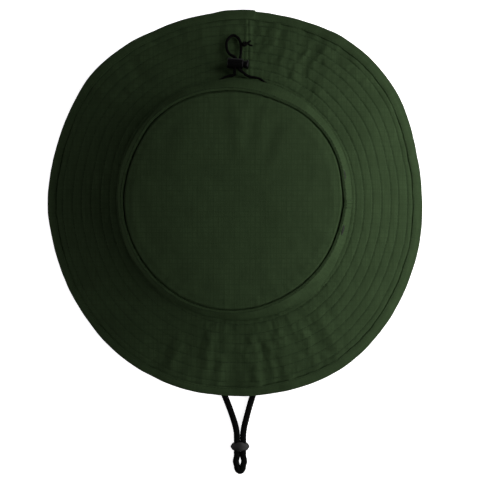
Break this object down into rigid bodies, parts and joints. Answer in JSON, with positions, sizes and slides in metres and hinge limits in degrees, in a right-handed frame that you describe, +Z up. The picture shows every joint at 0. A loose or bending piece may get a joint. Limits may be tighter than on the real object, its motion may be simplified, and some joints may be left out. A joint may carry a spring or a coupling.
{
  "type": "boonie hat",
  "caption": "Wide-brim cloth sun hat with flat round crown, stitched brim, vent eyelets, chin cord with toggle and elastic adjuster with cord lock.",
  "frame": {"origin": "centre of the head opening, in the plane where the crown meets the brim", "axes": "+Z up through the crown, -Y to the front (chin cord side), +Y to the back (elastic adjuster), +X to the wearer's left"},
  "size_m": [0.3154, 0.3893, 0.1216],
  "materials": {
    "ripstop_cloth": "matt olive ripstop",
    "binding_tape": "matt olive cotton tape",
    "stiffener_cloth": "stiff interlining",
    "thread": "olive sewing thread",
    "seam_tape": "olive woven tape",
    "sweatband_cloth": "soft cotton twill",
    "label_cloth": "blank woven label",
    "braided_cord": "black braided cord",
    "elastic_cord": "black covered elastic",
    "black_plastic": "moulded, slightly glossy",
    "slider_leather": "dark grey leather toggle",
    "spring_steel": "bright wire",
    "eyelet_metal": "olive enamelled brass, worn rim"
  },
  "bodies": {
    "hat": {"crown_tip": "ripstop_cloth", "crown_side_front": "ripstop_cloth", "crown_side_back": "ripstop_cloth", "brim_top_cloth": "ripstop_cloth", "brim_under_cloth": "ripstop_cloth", "brim_stiffener": "stiffener_cloth", "brim_edge_binding": "binding_tape", "brim_stitch_rows": "thread", "binding_stitching": "thread", "tip_seam_stitching": "thread", "side_seam_stitching": "thread", "tip_seam_tape": "seam_tape", "side_seam_tape_left": "seam_tape", "side_seam_tape_right": "seam_tape", "drawcord_tunnel": "seam_tape", "sweatband": "sweatband_cloth", "size_label": "label_cloth", "care_label": "label_cloth", "vent_eyelets": "eyelet_metal", "vent_eyelet_washers": "eyelet_metal", "drawcord_elastic": "elastic_cord", "chin_cord_tab_left": "seam_tape", "chin_cord_tab_right": "seam_tape"},
    "adjuster_loop": {"adjuster_cord_loop": "elastic_cord", "adjuster_knot": "elastic_cord"},
    "cord_lock": {"cord_lock_barrel": "black_plastic", "cord_lock_spring": "spring_steel"},
    "lock_plunger": {"cord_lock_plunger": "black_plastic"},
    "chin_strap": {"chin_cord": "braided_cord", "chin_cord_end_knots": "braided_cord"},
    "chin_slider": {"chin_slider": "slider_leather"}
  },
  "joints": [
    {"name": "adjuster_swing", "type": "hinge", "parent": "hat", "child": "adjuster_loop", "pos_m": [-0.003, 0.101, 0.0026], "axis": [0.9968, -0.0797, 0], "range_deg": [0, 85]},
    {"name": "cord_lock_slide", "type": "slide", "parent": "adjuster_loop", "child": "cord_lock", "axis": [0.0726, 0.9076, -0.4136], "range_m": [-0.0015, 0.0135], "deforming": ["adjuster_cord_loop"]},
    {"name": "lock_plunger_press", "type": "slide", "parent": "cord_lock", "child": "lock_plunger", "axis": [-0.9968, 0.0797, 0], "range_m": [0, 0.0022], "stiffness_N_per_m": 600, "springref_m": -0.002, "deforming": ["cord_lock_spring"]},
    {"name": "chin_strap_swing", "type": "hinge", "parent": "hat", "child": "chin_strap", "pos_m": [0, 0, -0.0085], "axis": [1, 0, 0], "range_deg": [0, 150]},
    {"name": "chin_slider_slide", "type": "slide", "parent": "chin_strap", "child": "chin_slider", "axis": [0, 1, 0], "range_m": [-0.007, 0.033], "deforming": ["chin_cord"]}
  ]
}
